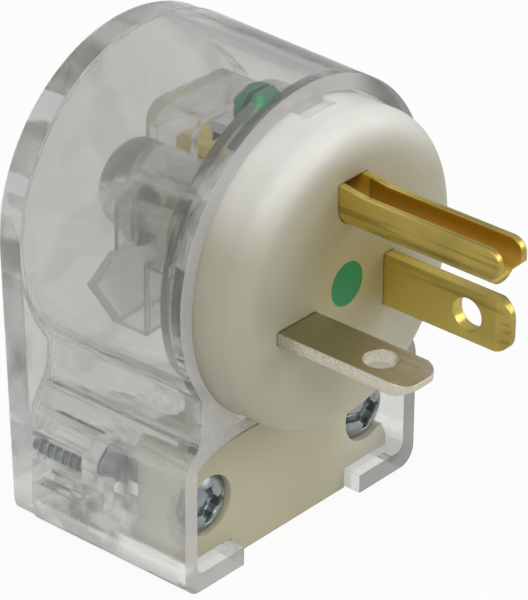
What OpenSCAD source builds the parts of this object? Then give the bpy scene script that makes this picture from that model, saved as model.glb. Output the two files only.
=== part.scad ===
// Right-angle grounded mains plug with a clear cup, a white front and three contacts.
// The blades point to -Y, the ground pin is at the top, and the cord leaves downwards.
// Depths along Y are counted from the flat face that the blades stand out of.

/* [Clear housing] */
// Height of the blade centreline above the base
blade_height = 32.7; // [31:0.1:35]
// Depth from the blade face to the back of the flange
body_depth = 33.2; // [33:0.1:37]
// Width of the lower, square part of the body
lower_w = 39.8; // [39:0.1:42]
// How much larger the round top is at its back end
draft_r = 0.5; // [0.1:0.1:1]
// Height of the centre of the round top above the blade centreline
round_rise = 3.3; // [3:0.1:4]
// Height of the middle of the curved shoulders above the base
shoulder_z = 17.8; // [17.2:0.1:18.4]
// Radius of the two arcs that make up each shoulder
shoulder_r = 5.4; // [4.4:0.1:6]
// How far the neck steps in from each side of the lower part
neck_step = 2.95; // [2.7:0.05:3.1]
// Thickness of the side walls
wall = 1.9; // [1.6:0.05:1.95]
// Thickness of the two strips of the base
base_wall = 2.3; // [2:0.1:3]
// Radius of the lower corners outside
corner_r = 2.3; // [1:0.1:2.5]
// How far the front lip lies behind the blade face
lip_set = 6.5; // [6:0.1:6.8]
// Thickness of the two webs between the round and the lower opening
web_t = 1.5; // [1:0.1:1.7]
// How much larger than the cavity the webs are cut
web_grow = 0.15; // [0.1:0.05:0.4]
// How far the webs' arc is centred below the round top's centre
web_drop = 0.9; // [0.6:0.1:1.2]
// Height of the top of the lower opening above the base
arch_z = 17.7; // [17.2:0.1:18.2]
// Width of each upper corner of the lower opening
arch_w = 8; // [6:0.1:9]
// Height of those corners
arch_h = 2.4; // [2:0.1:3]
// Thickness of the back plate behind the cavity
floor_t = 2.6; // [2:0.1:3]
// Thickness of the flange around the back
flange_t = 3.2; // [2.8:0.1:4]
// How far the flange's round top stands out from the front lip's
flange_step = 0.25; // [0.1:0.05:0.5]
// How far each side of the flange steps in at the base
flange_taper = 0.25; // [0:0.05:0.6]
// Distance from the opening for the cord to the back plate
cord_back = 1; // [0.4:0.1:1.8]
// Length of the two screw bosses
boss_len = 7.5; // [7:0.1:8.4]
// Radius of the two screw bosses
boss_r = 3.5; // [3.2:0.1:3.7]
// Width of the catch at the top of the lip
catch_w = 4.8; // [4:0.1:6]
// How far the catch reaches in from the cavity wall
catch_h = 1.1; // [0.9:0.1:1.3]
// Height of the two grip ridges on the back plate
ridge_h = 1.3; // [0.8:0.1:1.6]

/* [White front] */
// Gap between the round front and the wall around it
front_gap = 0.4; // [0.3:0.05:0.5]
// How far its lower half is centred below its upper half
front_drop = 1.2; // [0.8:0.1:1.3]
// Radius of the soft edge of the round front
edge_r = 2.6; // [1.5:0.1:3.2]
// Depth of the full round front
front_t = 7.6; // [7.4:0.1:7.9]
// Depth of the smaller hub behind it
hub_end = 9.4; // [9.2:0.1:9.6]
// How much smaller the hub is in radius
hub_step = 1.35; // [1:0.05:1.6]
// How far the face of the lower block lies behind the lip
block_set = 2.15; // [1.9:0.05:2.4]
// Thickness of the lower block
block_t = 8.05; // [7.4:0.05:8.4]
// Height of the top of the lower block above the base
block_top = 15.5; // [14.8:0.1:15.9]
// Gap between the lower block and the walls beside it
block_gap = 0.65; // [0.4:0.05:0.8]
// Gap around the lower block at the base
base_gap = 0.25; // [0.15:0.05:0.4]
// Radius of the upper corners of the lower block
block_r = 2.5; // [1.5:0.1:3.5]
// Height of the wider foot of the lower block above the base
foot_z = 5; // [4.2:0.1:5.2]
// How much the block steps in above its foot
foot_step = 0.8; // [0.6:0.05:1.2]
// Radius of the upper corners of that foot
foot_r = 2.4; // [1.4:0.1:2.6]
// Width of the bridge between the round front and the lower block
bridge_w = 22; // [18:0.5:25]
// Thickness of that bridge
bridge_t = 3.4; // [2.8:0.1:4]
// How far the bridge lies behind the face of the lower block
bridge_set = 1.8; // [1.2:0.1:2.4]

/* [Blades] */
// Width of both flat blades
blade_w = 6.35; // [6.2:0.05:6.5]
// Thickness of both flat blades
blade_t = 1.52; // [1.4:0.02:1.6]
// Length of both flat blades in front of the face
blade_len = 17.6; // [15.9:0.1:18.2]
// Diameter of the hole in each flat blade
blade_hole_d = 3.96; // [3.8:0.02:4.1]
// Distance of the holes from the face
blade_hole_y = 11.8; // [11.4:0.1:12]
// Corner radius of the blade tips
tip_r = 2.2; // [1.2:0.1:2.8]
// Length of the bevel at the blade tips
bevel_len = 1.9; // [1:0.1:2.4]
// Thickness left at the end of the bevel
bevel_tip_t = 0.7; // [0.5:0.05:1]
// Distance of the upright line blade from the middle
line_x = 6.35; // [6.2:0.05:6.5]
// Distance of the level neutral blade's centre from the middle
neutral_x = 9.12; // [9:0.02:9.4]
// Clearance of each contact in its slot
slot_gap = 0.06; // [0.05:0.01:0.2]

/* [Ground pin] */
// Width of the folded ground pin
pin_w = 4.75; // [4.6:0.05:4.9]
// Height of the folded ground pin
pin_h = 4.8; // [4.6:0.05:5]
// Thickness of the sheet that the pin is folded from
pin_t = 0.85; // [0.8:0.05:1.1]
// Length of the pin in front of the face
pin_len = 21.9; // [20.8:0.1:22.6]
// Height of the pin's underside above the blade centreline
pin_rise = 9.5; // [9.3:0.05:9.7]
// Radius of the upper corners of the pin's tip
pin_tip_r = 1.7; // [1:0.1:2.2]
// How far the underside of the pin stops short of its tip
pin_short = 1.4; // [0.8:0.1:1.8]
// Height that the pin's walls gain close to the face
flare_h = 0.5; // [0.2:0.05:0.6]
// Length of that gain
flare_len = 3.6; // [2:0.1:5]

/* [Terminals] */
// Distance of the line and neutral terminal screws from the middle
terminal_x = 12.5; // [12.3:0.05:12.5]
// Height of those screws above the blade centreline
terminal_rise = 9.3; // [9.1:0.05:9.5]
// Height of the neutral rivet above the blade centreline
rivet_rise = 3.3; // [3:0.1:3.5]
// Distance from a rivet to the end of the metal around it
rivet_edge = 2.2; // [2:0.1:2.3]
// Width of the terminal plates' lower tongue
tongue_w = 4.6; // [4.2:0.1:4.8]
// Thickness of the terminal plates
plate_t = 1.5; // [1.3:0.05:1.6]
// Half width of the terminal plates and clamp plates
plate_r = 2.85; // [2.7:0.05:2.9]
// How much taller than wide the terminal plates and clamp plates are
plate_stretch = 1.6; // [1.2:0.05:1.8]
// Room for a wire between a terminal plate and its clamp plate
wire_room = 3.8; // [3:0.1:4]
// Thickness of the clamp plates
clamp_t = 1.3; // [1:0.05:1.4]
// Radius of the terminal screws' thread
screw_r = 1.72; // [1.5:0.02:1.78]
// Radius of the terminal screws' heads
head_r = 2.6; // [2.3:0.05:2.65]
// Height of the terminal screws' heads
head_t = 2; // [1.6:0.1:2.4]
// How far the terminal screws reach through their plates
screw_over = 1; // [0.5:0.1:1.3]
// Radius of the rivets
rivet_r = 1.1; // [0.9:0.05:1.2]
// Radius of the rivets' heads
rivet_head_r = 1.7; // [1.5:0.05:1.75]
// Thickness of the rivets' heads
rivet_head_t = 0.5; // [0.4:0.05:0.6]
// Clearance around screws and rivets
fit_gap = 0.05; // [0.03:0.01:0.1]

/* [Ground terminal] */
// Depth of the middle of the green ground screw
ground_y = 13.1; // [13:0.05:13.3]
// Height of the underside of its head above the blade centreline
ground_rise = 17.6; // [17.4:0.05:17.8]
// Radius of its head
ground_head_r = 2.9; // [2.6:0.05:2.95]
// Height of its head
ground_head_t = 2.9; // [2.4:0.1:3]
// Gap between its head and the wall above
head_gap = 1.5; // [1.3:0.05:1.8]
// Width of the ground terminal
ground_w = 8.8; // [8:0.1:9]
// Depth at which the ground terminal ends
ground_end = 21; // [20.6:0.1:21.4]
// Depth of the ground rivet
ground_rivet_y = 17.4; // [17.3:0.05:17.5]
// Room between the two legs of the ground terminal
ground_room = 0.8; // [0.75:0.05:0.9]
// Depth at which the tail of the ground pin begins
strap_y = 9.6; // [9.5:0.05:9.7]
// Width of the tail of the ground pin
strap_w = 4.4; // [4:0.1:4.6]
// Height of the turned-down lip of the ground clamp plate
lip_h = 1.1; // [0.8:0.1:1.3]

/* [Terminal carrier] */
// Thickness of the carrier's front plate
carrier_t = 1.2; // [1.1:0.05:1.3]
// Thickness of the carrier's walls
carrier_wall = 1; // [0.8:0.05:1]
// Gap between the carrier and the housing
carrier_gap = 0.25; // [0.2:0.05:0.3]
// Gap between the carrier and what it holds
pocket_gap = 0.2; // [0.15:0.01:0.22]
// Distance of the lower edge of the carrier below the round top's centre
carrier_drop = 11.3; // [11:0.1:11.5]
// Depth of the back of the carrier's wire boxes
box_end = 23.3; // [23.2:0.1:24.2]
// Depth of the back of the two terminal pockets
pocket_end = 19.1; // [18.9:0.1:19.6]
// Depth of the back of the round guard over each terminal pocket
guard_end = 23.1; // [22.8:0.1:23.2]
// Radius of the guard
guard_r = 5; // [4.6:0.1:5]
// Thickness of the guard behind the screw's head
guard_skin = 1.5; // [1.2:0.1:1.8]
// Radius of the driver's hole in the guard
guard_hole_r = 1.5; // [1.2:0.1:1.7]
// How far the guard is centred inwards from its terminal screw
guard_in = 1.5; // [1.3:0.1:1.8]
// How far the guard is centred above its terminal screw
guard_up = 1.7; // [1.2:0.1:1.9]
// Radius of the soft back edge of the guard
guard_edge = 2; // [1:0.1:2.6]
// Width of each wire box
box_w = 10.2; // [9.8:0.1:10.4]
// Height of each wire box's top above the blade centreline
box_rise = 5.5; // [5.3:0.05:5.6]
// Height of each wire box
box_h = 8.3; // [8:0.1:8.6]
// Height at which each wire box is deepest above its own foot
box_foot = 3; // [2:0.1:4]
// How far its back leans in above that height
box_lean = 3.5; // [2:0.1:4]
// How far its back leans in below that height
box_tuck = 3.9; // [2:0.1:4.2]
// Width of the spine between the wire boxes
spine_w = 9.2; // [8.6:0.1:9.4]
// Height of the spine's top above the blade centreline
spine_rise = 8.5; // [8.2:0.1:8.6]
// Width of the ground terminal's hood
crown_w = 14.4; // [14:0.1:14.5]
// Height of the foot of that hood above the blade centreline
crown_rise = 13.2; // [13:0.1:13.4]
// Height of that hood
crown_h = 5; // [4.8:0.1:5.4]
// Radius of the upper corners of that hood
crown_r = 2.4; // [1.5:0.1:2.6]
// Depth of the front of that hood
crown_y = 16.6; // [16.4:0.1:17]

/* [Case screws] */
// Distance of the case screws from the sides
case_edge = 6.25; // [6.15:0.05:6.4]
// Height of the case screws above the base
case_z = 8.6; // [8.4:0.1:9]
// Radius of the case screws' thread
case_r = 1.75; // [1.6:0.02:1.8]
// Radius of the case screws' heads
case_head_r = 3.5; // [3.3:0.05:3.55]
// Height of the case screws' heads
case_head_t = 2.15; // [2:0.05:2.4]
// How deep the heads are sunk into the lower block
case_sink = 1.75; // [1.5:0.05:1.9]
// Thickness left behind the tips of the case screws
case_skin = 0.8; // [0.6:0.1:1.4]
// Clearance of the case screws in the lower block
case_gap = 0.2; // [0.1:0.05:0.3]

/* [Cord jaw] */
// Thickness of the loose cord jaw
jaw_t = 4; // [3.4:0.1:4.4]
// Height of the loose cord jaw
jaw_h = 8.6; // [7:0.1:9]
// Height of the jaw's foot above the base
jaw_z = 1.6; // [1:0.1:2.2]
// Height of the jaw's teeth
tooth_h = 1.4; // [1:0.1:1.6]
// Number of teeth on the jaw
teeth = 3; // [2:1:4]
// Gap beside the jaw
jaw_gap = 0.3; // [0.2:0.05:0.4]

/* [Hidden] */
$fn = 96;
// Overrun of every cut
cut = 0.5;
// Steps in each arc of a drawn outline
arc_steps = 10;
// Middle plane of the plug
mid = 0;

// Depth of the blade face once the plug is centred on the origin
face_y = (pin_len - body_depth) / 2;

// Heights and depths of the housing
round_z = blade_height + round_rise;
flange_y = body_depth - flange_t;
floor_y = body_depth - floor_t;
cavity_r = ground_rise + ground_head_t + head_gap - round_rise;
round_r = cavity_r + wall;
flange_r = round_r + flange_step;
inner_w = lower_w - 2 * wall;
neck_w = lower_w - 2 * neck_step;
neck_in_w = neck_w - 2 * wall;
flange_foot_w = lower_w - 2 * flange_taper;
boss_front = floor_y - boss_len;
cord_end = floor_y - cord_back;
case_x = lower_w / 2 - case_edge;
cord_w = 2 * (case_x - boss_r);
web_back = lip_set + web_t;
shoulder_turn = acos(1 - neck_step / (2 * shoulder_r));
shoulder_half = shoulder_r * sin(shoulder_turn);

// White front
front_r = cavity_r - front_gap;
hub_r = front_r - hub_step;
block_y = lip_set + block_set;
block_back = block_y + block_t;
block_w = inner_w - 2 * block_gap;
block_low = base_wall + base_gap;
notch_z = round_z + cavity_r - catch_h;
bridge_y = block_y + bridge_set;

// Contacts and terminals
pin_z = blade_height + pin_rise;
pin_top = pin_z + pin_h;
terminal_z = blade_height + terminal_rise;
carrier_back = hub_end + carrier_t;
tail_end = carrier_back + blade_t;
plate_back = tail_end + plate_t;
clamp_y = plate_back + wire_room;
head_y = clamp_y + clamp_t;
neutral_rivet_z = blade_height + rivet_rise;
neutral_tail_top = neutral_rivet_z + rivet_edge;
tail_side = terminal_x + tongue_w / 2;
ground_z = blade_height + ground_rise;
strap_top = pin_z + pin_t;
leg_top = strap_top + plate_t;
flange_low = leg_top + ground_room;
flange_top = flange_low + plate_t;

// Terminal carrier
carrier_r = cavity_r - carrier_gap;
carrier_low = round_z - carrier_drop;
pocket_r = plate_r + pocket_gap;
duct_r = pocket_r + carrier_wall;
pocket_low = terminal_z - plate_stretch / 2 - duct_r;
box_front = plate_back + rivet_head_t + pocket_gap;
box_top = blade_height + box_rise;
box_low = box_top - box_h;
box_side = terminal_x + duct_r;
spine_top = blade_height + spine_rise;
crown_low = blade_height + crown_rise;
crown_top = crown_low + crown_h;

// Case screws and cord jaw
case_bearing = block_y + case_sink;
case_end = body_depth - case_skin;
jaw_w = cord_w - 2 * jaw_gap;

// Sizes that follow others as shares of them
dome_share = 0.45;
rim_share = 0.55;
slot_w_share = 0.22;
slot_deep_share = 0.5;
cross_w_share = 0.3;
cross_r_share = 0.38;
cross_deep_share = 0.25;
recess_share = 0.8;
groove_share = 0.25;
window_share = 0.4;
ridge_share = 0.8;

// Points of an arc around c, turned from one angle to another; r is its width, or one for each axis
function arc(c, r, a0, a1) =
    [for (i = [0 : arc_steps]) let (a = a0 + (a1 - a0) * i / arc_steps)
        [c[0] + (is_list(r) ? r[0] : r) * cos(a), c[1] + (is_list(r) ? r[1] : r) * sin(a)]];

// A front-view outline, given as x and height, made solid between two depths
module between(y0, y1) {
    translate([0, face_y + y1, 0]) rotate([90, 0, 0]) linear_extrude(y1 - y0) children();
}

// A side-view outline, given as depth and height, made solid across a width centred on x
module across(x, w) {
    translate([x - w / 2, face_y, 0]) rotate([90, 0, 90]) linear_extrude(w) children();
}

// A straight box between two corners, with depths counted from the face
module block_at(low, high) {
    translate(low + [0, face_y, 0]) cube(high - low);
}

// A round bar along Y between two depths
module bar_y(x, z, r, y0, y1) {
    translate([x, face_y + y0, z]) rotate([-90, 0, 0]) cylinder(h = y1 - y0, r = r);
}

// A round bar along Z between two heights, at a depth
module bar_z(x, y, r, z0, z1) {
    translate([x, face_y + y, z0]) cylinder(h = z1 - z0, r = r);
}

// A symmetric front-view outline with its own corner radii below and above
module rounded_plate(w, z0, z1, r_low, r_high) {
    polygon(concat(arc([w / 2 - r_low, z0 + r_low], r_low, -90, 0),
                   arc([w / 2 - r_high, z1 - r_high], r_high, 0, 90),
                   arc([r_high - w / 2, z1 - r_high], r_high, 90, 180),
                   arc([r_low - w / 2, z0 + r_low], r_low, 180, 270)));
}

// A plain rectangle in front view, from its sides
module rect(x0, x1, z0, z1) {
    translate([x0, z0]) square([x1 - x0, z1 - z0]);
}

// An upright slot-shaped outline around a terminal screw
module tall_round(x, r) {
    translate([x, terminal_z + plate_stretch / 2]) circle(r);
    translate([x, terminal_z - plate_stretch / 2]) circle(r);
    rect(x - r, x + r, terminal_z - plate_stretch / 2, terminal_z + plate_stretch / 2);
}

// Pan head with its bearing face at zero height and its dome up
module pan_head(r, t) {
    cylinder(h = t * (1 - dome_share), r = r);
    translate([0, 0, t * (1 - dome_share)]) cylinder(h = t * dome_share, r1 = r, r2 = r * rim_share);
}

// A straight slot across the head
module driver_slot(r, t) {
    w = r * slot_w_share;
    translate([-r, -w / 2, t * slot_deep_share]) cube([2 * r, w, t]);
}

// A combination drive: a slot across the head, a shorter one across it and a round middle
module driver_cross(r, t) {
    w = r * cross_w_share;
    translate([0, 0, t * cross_deep_share]) {
        translate([-r, -w / 2, 0]) cube([2 * r, w, t]);
        translate([-w / 2, -r * rim_share, 0]) cube([w, 2 * r * rim_share, t]);
        cylinder(h = t, r = r * cross_r_share);
    }
}

// Clear housing: round top, neck and square lower part, and a flange without a neck
module body_half() {
    polygon(concat([[-cut, 0]],
                   arc([lower_w / 2 - corner_r, corner_r], corner_r, -90, 0),
                   arc([lower_w / 2 - shoulder_r, shoulder_z - shoulder_half], shoulder_r,
                       0, shoulder_turn),
                   arc([neck_w / 2 + shoulder_r, shoulder_z + shoulder_half], shoulder_r,
                       180 + shoulder_turn, 180),
                   [[neck_w / 2, round_z - front_r / 2], [-cut, round_z - front_r / 2]]));
}

module body_outline() {
    body_half();
    mirror([1, 0, 0]) body_half();
}

// The lower opening and the cavity behind it, with wide, low upper corners
module opening_outline() {
    low_r = corner_r / 2;
    low_x = inner_w / 2 - low_r;
    high_x = inner_w / 2 - arch_w;
    high = [arch_w, arch_h];
    polygon(concat(arc([low_x, base_wall + low_r], low_r, -90, 0),
                   arc([high_x, arch_z - arch_h], high, 0, 90),
                   arc([-high_x, arch_z - arch_h], high, 90, 180),
                   arc([-low_x, base_wall + low_r], low_r, 180, 270)));
}

module flange_outline() {
    translate([0, round_z]) circle(flange_r);
    polygon(concat(arc([flange_foot_w / 2 - corner_r, corner_r], corner_r, -90, 0),
                   [[flange_r, round_z], [-flange_r, round_z]],
                   arc([corner_r - flange_foot_w / 2, corner_r], corner_r, 180, 270)));
}

module housing_shell() {
    difference() {
        union() {
            translate([0, face_y + lip_set, round_z]) rotate([-90, 0, 0])
                cylinder(h = flange_y - lip_set, r1 = round_r, r2 = round_r + draft_r);
            between(lip_set, flange_y) body_outline();
            between(flange_y, body_depth) flange_outline();
        }
        bar_y(mid, round_z, cavity_r, lip_set - cut, floor_y);
        bar_y(mid, round_z - web_drop, cavity_r + web_grow, lip_set - cut, web_back);
        between(lip_set - cut, floor_y) opening_outline();
        between(web_back, floor_y)
            rect(-neck_in_w / 2, neck_in_w / 2, arch_z - arch_h, carrier_low);
        block_at([-cord_w / 2, lip_set - cut, -cut], [cord_w / 2, cord_end, base_wall + cut]);
    }
}

// Boss for one case screw, solid as far as the side wall and tied to the base
module screw_boss(side) {
    far_x = inner_w / 2 + wall / 2;
    low_x = side > 0 ? case_x : -far_x;
    bar_y(side * case_x, case_z, boss_r, boss_front, floor_y + cut);
    block_at([low_x, boss_front, case_z - boss_r],
             [low_x + far_x - case_x, floor_y + cut, case_z + boss_r]);
    block_at([side * case_x - wall / 2, boss_front, base_wall / 2],
             [side * case_x + wall / 2, floor_y + cut, case_z]);
}

// Two ridges on the back plate that bite into the cord's jacket
module grip_ridges() {
    for (i = [1 : 2]) across(mid, cord_w * ridge_share)
        translate([floor_y, base_wall + i * 2 * ridge_h])
            polygon([[cut, ridge_h], [0, ridge_h], [-ridge_h, 0], [0, -ridge_h], [cut, -ridge_h]]);
}

module clear_housing() {
    color("white", 0.4) difference() {
        union() {
            housing_shell();
            for (side = [-1, 1]) screw_boss(side);
            grip_ridges();
            block_at([-catch_w / 2, lip_set, notch_z],
                     [catch_w / 2, web_back, round_z + cavity_r + wall / 2]);
        }
        for (side = [-1, 1])
            bar_y(side * case_x, case_z, case_r + fit_gap, boss_front - cut, case_end + fit_gap);
    }
}
clear_housing();

// White front: round face with a soft edge, hub, bridge and lower block in one moulding
module soft_edge(r, t, e) {
    square([r - e, t]);
    translate([0, e]) square([r, t - e]);
    translate([r - e, e]) circle(e);
}

module soft_disc(r, t, e) {
    rotate_extrude() soft_edge(r, t, e);
}

// The round front: two half discs with a straight piece between them
module round_front() {
    size = front_r + cut;
    translate([0, face_y, 0]) {
        intersection() {
            translate([0, 0, round_z]) rotate([-90, 0, 0]) soft_disc(front_r, front_t, edge_r);
            translate([-size, -cut, round_z]) cube([2 * size, front_t + 2 * cut, size]);
        }
        intersection() {
            translate([0, 0, round_z - front_drop]) rotate([-90, 0, 0])
                soft_disc(front_r, front_t, edge_r);
            translate([-size, -cut, round_z - front_drop - size])
                cube([2 * size, front_t + 2 * cut, size]);
        }
        translate([0, 0, round_z - front_drop]) linear_extrude(front_drop) {
            soft_edge(front_r, front_t, edge_r);
            mirror([1, 0, 0]) soft_edge(front_r, front_t, edge_r);
        }
    }
}

module block_outline() {
    rounded_plate(block_w - 2 * foot_step, foot_z, block_top, foot_step / 2, block_r);
    rounded_plate(block_w, block_low, foot_z + foot_step, base_gap, foot_r);
    rect(base_gap - cord_w / 2, cord_w / 2 - base_gap, 0, foot_z);
}

module blade_slots(y0, y1) {
    g = slot_gap;
    block_at([line_x - blade_t / 2 - g, y0, blade_height - blade_w / 2 - g],
             [line_x + blade_t / 2 + g, y1, blade_height + blade_w / 2 + g]);
    block_at([-neutral_x - blade_w / 2 - g, y0, blade_height - blade_t / 2 - g],
             [-neutral_x + blade_w / 2 + g, y1, blade_height + blade_t / 2 + g]);
}

// The recess of a case screw's head, open towards the side wall
module head_recess(side) {
    r = case_head_r + case_gap;
    reach = block_w / 2 - case_x + cut;
    low_x = side > 0 ? case_x : -case_x - reach;
    bar_y(side * case_x, case_z, r, block_y - cut, case_bearing);
    block_at([low_x, block_y - cut, case_z - r * recess_share],
             [low_x + reach, case_bearing, case_z + r * recess_share]);
}

module front_insert() {
    g = slot_gap;
    color("ivory") difference() {
        union() {
            round_front();
            bar_y(mid, round_z, hub_r, front_t - cut, hub_end);
            between(block_y, block_back) block_outline();
            block_at([-bridge_w / 2, bridge_y, block_top - block_r],
                     [bridge_w / 2, bridge_y + bridge_t, carrier_low - base_gap]);
            block_at([-bridge_w / 2, front_t - cut, round_z - front_r + hub_step * 2],
                     [bridge_w / 2, bridge_y + bridge_t, carrier_low - base_gap]);
        }
        blade_slots(-cut, hub_end + cut);
        between(-cut, hub_end + cut) pin_outline(g, pin_top + flare_h + g);
        block_at([-catch_w / 2 - g * 2, lip_set - web_t - cut, notch_z - g * 2],
                 [catch_w / 2 + g * 2, front_t + cut, round_z + front_r + cut]);
        for (side = [-1, 1]) {
            bar_y(side * case_x, case_z, case_r + case_gap, block_y - cut, block_back + cut);
            head_recess(side);
        }
    }
}
front_insert();

// Clear carrier behind the front: front plate, spine, two terminal pockets, two wire boxes, hood
module pocket_outline(x, r, low) {
    tall_round(x, r);
    rect(x - r, x + r, low, terminal_z);
}

// Round guard with a soft back edge, kept within the carrier's own circle
module pocket_guard(side) {
    intersection() {
        translate([side * (terminal_x - guard_in), face_y + guard_end, terminal_z + guard_up])
            rotate([90, 0, 0]) soft_disc(guard_r, guard_end - carrier_back + cut, guard_edge);
        bar_y(mid, round_z, carrier_r, hub_end, box_end);
    }
}

module terminal_pocket(side) {
    x = side * terminal_x;
    difference() {
        union() {
            between(carrier_back - cut, pocket_end) pocket_outline(x, duct_r, box_top - pocket_gap);
            pocket_guard(side);
        }
        between(carrier_back - 2 * cut, pocket_end + cut)
            pocket_outline(x, pocket_r, pocket_low - cut);
        bar_y(x, terminal_z, head_r + pocket_gap, carrier_back, guard_end - guard_skin);
        bar_y(x, terminal_z, guard_hole_r, carrier_back, guard_end + cut);
    }
}

// Side view of a wire box, with a back that leans in both upwards and downwards
module box_outline(inset, over) {
    back = box_end - inset;
    polygon([[box_front + inset, box_low - over], [back - box_tuck, box_low - over],
             [back - box_tuck, box_low], [back, box_low + box_foot],
             [back - box_lean, box_top], [back - box_lean, box_top + over],
             [box_front + inset, box_top + over]]);
}

module wire_box(side) {
    x = side * (box_side - box_w / 2);
    difference() {
        across(x, box_w) box_outline(0, 0);
        across(x, box_w - 2 * carrier_wall) box_outline(carrier_wall, cut);
    }
}

module spine_outline() {
    difference() {
        rect(-spine_w / 2, spine_w / 2, box_low, spine_top);
        rect(carrier_wall - spine_w / 2, spine_w / 2 - carrier_wall,
             box_low + carrier_wall, spine_top - carrier_wall);
    }
}

module hood_outline() {
    low_r = carrier_wall / 2;
    difference() {
        rounded_plate(crown_w, crown_low, crown_top, low_r, crown_r);
        rounded_plate(crown_w - 2 * carrier_wall, crown_low - carrier_wall, crown_top - carrier_wall,
                      low_r, crown_r - carrier_wall);
    }
}

module back_outline() {
    difference() {
        rounded_plate(crown_w, box_low, crown_top, carrier_wall / 2, crown_r);
        rect(-crown_w * window_share, crown_w * window_share, spine_top, crown_low + 2 * carrier_wall);
    }
}

module carrier_plate() {
    g = pocket_gap;
    difference() {
        between(hub_end, carrier_back) intersection() {
            translate([0, round_z]) circle(carrier_r);
            rect(-carrier_r - cut, carrier_r + cut, carrier_low, round_z + carrier_r + cut);
        }
        blade_slots(hub_end - cut, carrier_back + cut);
        block_at([-pin_w / 2 - g, hub_end - cut, pin_z - g],
                 [pin_w / 2 + g, carrier_back + cut, pin_top + flare_h + g]);
        block_at([-ground_w / 2 - g, hub_end - cut, flange_top + ground_room * 2],
                 [ground_w / 2 + g, carrier_back + cut, round_z + carrier_r + cut]);
        bar_y(terminal_x, blade_height, rivet_head_r + g, hub_end - cut, carrier_back + cut);
        bar_y(-terminal_x, neutral_rivet_z, rivet_head_r + g, hub_end - cut, carrier_back + cut);
    }
}

module terminal_carrier() {
    g = pocket_gap;
    color("white", 0.5) difference() {
        union() {
            carrier_plate();
            for (side = [-1, 1]) {
                terminal_pocket(side);
                wire_box(side);
            }
            between(carrier_back - cut, box_end) spine_outline();
            between(box_end - carrier_wall, box_end) back_outline();
            between(crown_y, box_end) hood_outline();
        }
        block_at([-tail_side - g, carrier_back, blade_height - blade_t],
                 [-neutral_x + blade_w / 2 + g, tail_end + g, neutral_tail_top + g]);
    }
}
terminal_carrier();

// Flat blades: rounded and bevelled tips, a hole, and a folded tail behind the carrier's plate
module blade_outline(end_y) {
    polygon(concat(arc([tip_r - blade_len, blade_w / 2 - tip_r], tip_r, 180, 90),
                   [[end_y, blade_w / 2], [end_y, -blade_w / 2]],
                   arc([tip_r - blade_len, tip_r - blade_w / 2], tip_r, 270, 180)));
}

module bevel_outline(end_y) {
    polygon([[-blade_len, bevel_tip_t / 2], [bevel_len - blade_len, blade_t / 2], [end_y, blade_t / 2],
             [end_y, -blade_t / 2], [bevel_len - blade_len, -blade_t / 2], [-blade_len, -bevel_tip_t / 2]]);
}

// A blade lying level on the origin, its face at depth zero
module flat_blade(end_y) {
    difference() {
        intersection() {
            translate([0, 0, -blade_t]) linear_extrude(2 * blade_t) rotate(90) blade_outline(end_y);
            rotate([90, 0, 90]) translate([0, 0, -blade_w]) linear_extrude(2 * blade_w) bevel_outline(end_y);
        }
        translate([0, -blade_hole_y, -blade_t]) cylinder(h = 2 * blade_t, d = blade_hole_d);
    }
}

module line_blade() {
    color("goldenrod") difference() {
        union() {
            translate([line_x, face_y, blade_height]) rotate([0, 90, 0]) flat_blade(tail_end);
            block_at([line_x - blade_t / 2, carrier_back, blade_height - blade_w / 2],
                     [tail_side, tail_end, blade_height + blade_w / 2]);
        }
        bar_y(terminal_x, blade_height, rivet_r + fit_gap, carrier_back - cut, tail_end + cut);
    }
}
line_blade();

module neutral_blade() {
    color("silver") difference() {
        union() {
            translate([-neutral_x, face_y, blade_height]) flat_blade(tail_end);
            block_at([-tail_side, carrier_back, blade_height - blade_t / 2],
                     [-neutral_x + blade_w / 2, tail_end, neutral_tail_top]);
        }
        bar_y(-terminal_x, neutral_rivet_z, rivet_r + fit_gap, carrier_back - cut, tail_end + cut);
    }
}
neutral_blade();

// Ground pin: a sheet folded into a channel that is open upwards, with a flat tail
module pin_outline(grow, top) {
    r = pin_w / 2 + grow;
    translate([0, pin_z + pin_w / 2]) circle(r);
    rect(-r, r, pin_z + pin_w / 2, top);
}

module pin_side() {
    y0 = -pin_len;
    y1 = carrier_back - pocket_gap;
    polygon(concat(arc([y0 + pin_tip_r, pin_top - pin_tip_r], pin_tip_r, 180, 90),
                   [[-flare_len, pin_top], [0, pin_top + flare_h], [y1, pin_top + flare_h],
                    [y1, pin_z - cut], [y0 + pin_short, pin_z - cut],
                    [y0 + pin_short, pin_z + pin_t], [y0, pin_z + pin_t + pin_short]]));
}

module ground_pin() {
    color("goldenrod") difference() {
        union() {
            intersection() {
                between(-pin_len - cut, carrier_back) difference() {
                    pin_outline(0, pin_top + flare_h + cut);
                    translate([0, pin_z + pin_w / 2]) circle(pin_w / 2 - pin_t);
                    rect(pin_t - pin_w / 2, pin_w / 2 - pin_t,
                         pin_z + pin_w / 2, pin_top + flare_h + 2 * cut);
                }
                across(mid, 2 * pin_w) pin_side();
            }
            block_at([-strap_w / 2, strap_y, pin_z], [strap_w / 2, ground_end, strap_top]);
        }
        bar_z(mid, ground_rivet_y, rivet_r + fit_gap, pin_z - cut, strap_top + cut);
    }
}
ground_pin();

// Terminal plates behind the tails, each with a screw hole above and a rivet hole below
module terminal_plate(x, rivet_z) {
    difference() {
        between(tail_end, plate_back) {
            tall_round(x, plate_r);
            rect(x - tongue_w / 2, x + tongue_w / 2, rivet_z - rivet_edge, terminal_z);
        }
        bar_y(x, terminal_z, screw_r + fit_gap, tail_end - cut, plate_back + cut);
        bar_y(x, rivet_z, rivet_r + fit_gap, tail_end - cut, plate_back + cut);
    }
}

module line_terminal() {
    color("goldenrod") terminal_plate(terminal_x, blade_height);
}
line_terminal();

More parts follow.
